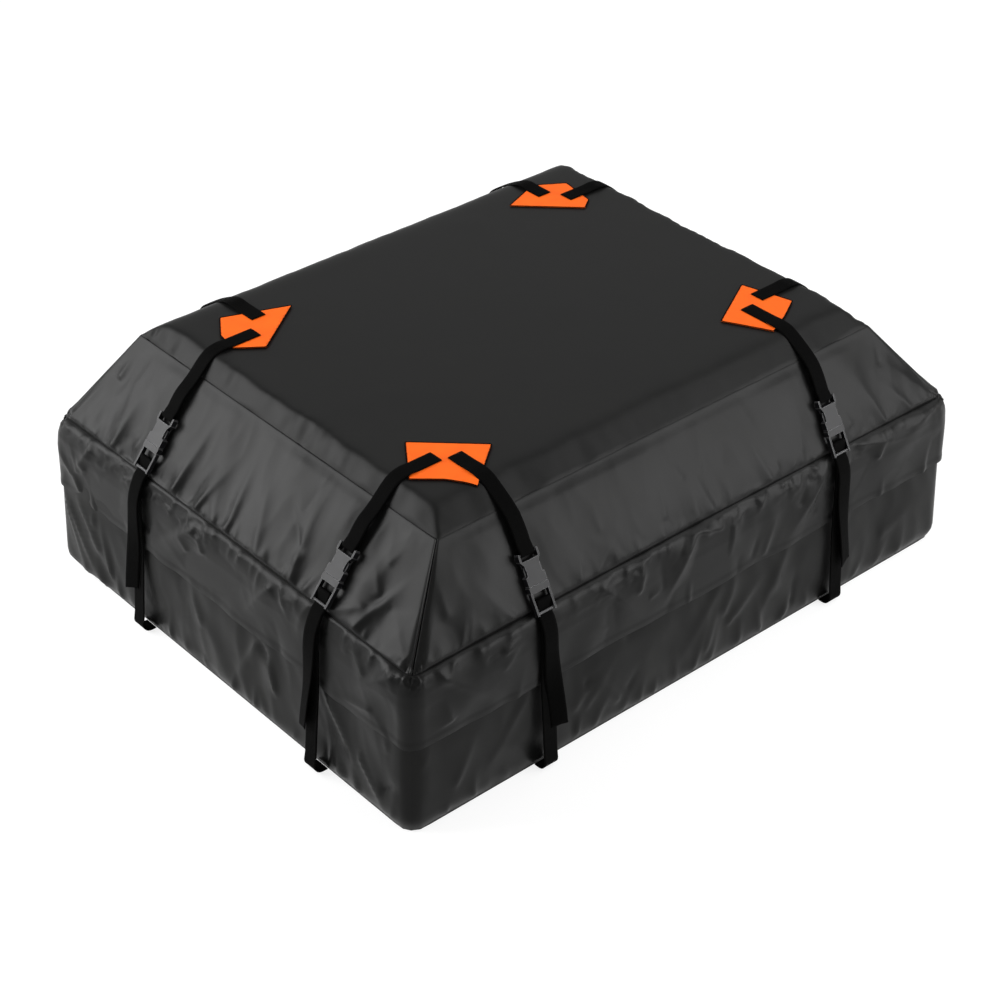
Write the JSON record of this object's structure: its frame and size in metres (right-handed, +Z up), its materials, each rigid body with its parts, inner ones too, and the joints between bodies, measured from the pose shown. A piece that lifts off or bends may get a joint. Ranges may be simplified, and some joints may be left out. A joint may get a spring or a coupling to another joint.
{
  "type": "roof cargo bag",
  "caption": "Closed soft roof cargo bag with sloped shoulders, storm flap over the zip, corner patches and webbing straps with side-release buckles.",
  "frame": {"origin": "centre of the bag's outline on the surface it rests on, under the base panel", "axes": "+X along the longest side, +Y across it, +Z up out of the crown"},
  "size_m": [1.1462, 0.9158, 0.4379],
  "materials": {
    "bag_fabric": "coated polyester, dark grey, satin sheen",
    "base_fabric": "heavier coated base fabric, matt black",
    "patch_fabric": "bright orange coated fabric, satin",
    "webbing": "woven polyester webbing, black, matt",
    "zip_tape": "woven zip tape with coil, black",
    "buckle_plastic": "moulded acetal, black, semi-gloss",
    "zip_metal": "black painted die-cast zinc"
  },
  "bodies": {
    "bag": {"base_panel": "base_fabric", "front_wall": "bag_fabric", "front_flap": "bag_fabric", "front_shoulder": "bag_fabric", "back_wall": "bag_fabric", "back_flap": "bag_fabric", "back_shoulder": "bag_fabric", "left_wall": "bag_fabric", "left_flap": "bag_fabric", "left_shoulder": "bag_fabric", "right_wall": "bag_fabric", "right_flap": "bag_fabric", "right_shoulder": "bag_fabric", "zip_upper_tape": "zip_tape", "zip_lower_tape": "zip_tape", "top_panel": "bag_fabric", "patch_front_left": "patch_fabric", "patch_front_right": "patch_fabric", "patch_back_left": "patch_fabric", "patch_back_right": "patch_fabric", "upper_strap_front_left_end": "webbing", "lower_strap_front_left_end": "webbing", "buckle_socket_front_left_end": "buckle_plastic", "upper_strap_front_left_side": "webbing", "lower_strap_front_left_side": "webbing", "buckle_socket_front_left_side": "buckle_plastic", "upper_strap_front_right_end": "webbing", "lower_strap_front_right_end": "webbing", "buckle_socket_front_right_end": "buckle_plastic", "upper_strap_front_right_side": "webbing", "lower_strap_front_right_side": "webbing", "buckle_socket_front_right_side": "buckle_plastic", "upper_strap_back_left_end": "webbing", "lower_strap_back_left_end": "webbing", "buckle_socket_back_left_end": "buckle_plastic", "upper_strap_back_left_side": "webbing", "lower_strap_back_left_side": "webbing", "buckle_socket_back_left_side": "buckle_plastic", "upper_strap_back_right_end": "webbing", "lower_strap_back_right_end": "webbing", "buckle_socket_back_right_end": "buckle_plastic", "upper_strap_back_right_side": "webbing", "lower_strap_back_right_side": "webbing", "buckle_socket_back_right_side": "buckle_plastic"},
    "plug_front_left_end": {"buckle_plug_front_left_end": "buckle_plastic"},
    "plug_front_left_side": {"buckle_plug_front_left_side": "buckle_plastic"},
    "plug_front_right_end": {"buckle_plug_front_right_end": "buckle_plastic"},
    "plug_front_right_side": {"buckle_plug_front_right_side": "buckle_plastic"},
    "plug_back_left_end": {"buckle_plug_back_left_end": "buckle_plastic"},
    "plug_back_left_side": {"buckle_plug_back_left_side": "buckle_plastic"},
    "plug_back_right_end": {"buckle_plug_back_right_end": "buckle_plastic"},
    "plug_back_right_side": {"buckle_plug_back_right_side": "buckle_plastic"},
    "slider_left": {"zip_slider_left": "zip_metal"},
    "pull_left": {"zip_pull_left": "zip_metal"},
    "slider_right": {"zip_slider_right": "zip_metal"},
    "pull_right": {"zip_pull_right": "zip_metal"}
  },
  "joints": [
    {"name": "release_front_left_end", "type": "slide", "parent": "bag", "child": "plug_front_left_end", "axis": [-0.6289, 0, -0.7775], "range_m": [0, 0.03], "deforming": ["buckle_plug_front_left_end"]},
    {"name": "release_front_left_side", "type": "slide", "parent": "bag", "child": "plug_front_left_side", "axis": [0, -0.4878, -0.8729], "range_m": [0, 0.03], "deforming": ["buckle_plug_front_left_side"]},
    {"name": "release_front_right_end", "type": "slide", "parent": "bag", "child": "plug_front_right_end", "axis": [0.6289, 0, -0.7775], "range_m": [0, 0.03], "deforming": ["buckle_plug_front_right_end"]},
    {"name": "release_front_right_side", "type": "slide", "parent": "bag", "child": "plug_front_right_side", "axis": [0, -0.4878, -0.8729], "range_m": [0, 0.03], "deforming": ["buckle_plug_front_right_side"]},
    {"name": "release_back_left_end", "type": "slide", "parent": "bag", "child": "plug_back_left_end", "axis": [-0.6289, 0, -0.7775], "range_m": [0, 0.03], "deforming": ["buckle_plug_back_left_end"]},
    {"name": "release_back_left_side", "type": "slide", "parent": "bag", "child": "plug_back_left_side", "axis": [0, 0.4878, -0.8729], "range_m": [0, 0.03], "deforming": ["buckle_plug_back_left_side"]},
    {"name": "release_back_right_end", "type": "slide", "parent": "bag", "child": "plug_back_right_end", "axis": [0.6289, 0, -0.7775], "range_m": [0, 0.03], "deforming": ["buckle_plug_back_right_end"]},
    {"name": "release_back_right_side", "type": "slide", "parent": "bag", "child": "plug_back_right_side", "axis": [0, 0.4878, -0.8729], "range_m": [0, 0.03], "deforming": ["buckle_plug_back_right_side"]},
    {"name": "zip_run_left", "type": "slide", "parent": "bag", "child": "slider_left", "axis": [-1, 0, 0], "range_m": [0, 0.38]},
    {"name": "pull_lift_left", "type": "hinge", "parent": "slider_left", "child": "pull_left", "pos_m": [-0.01465, -0.43131, 0.244], "axis": [0, 0, 1], "range_deg": [0, 8]},
    {"name": "zip_run_right", "type": "slide", "parent": "bag", "child": "slider_right", "axis": [1, 0, 0], "range_m": [0, 0.38]},
    {"name": "pull_lift_right", "type": "hinge", "parent": "slider_right", "child": "pull_right", "pos_m": [0.01465, -0.43131, 0.244], "axis": [0, 0, -1], "range_deg": [0, 8]}
  ]
}
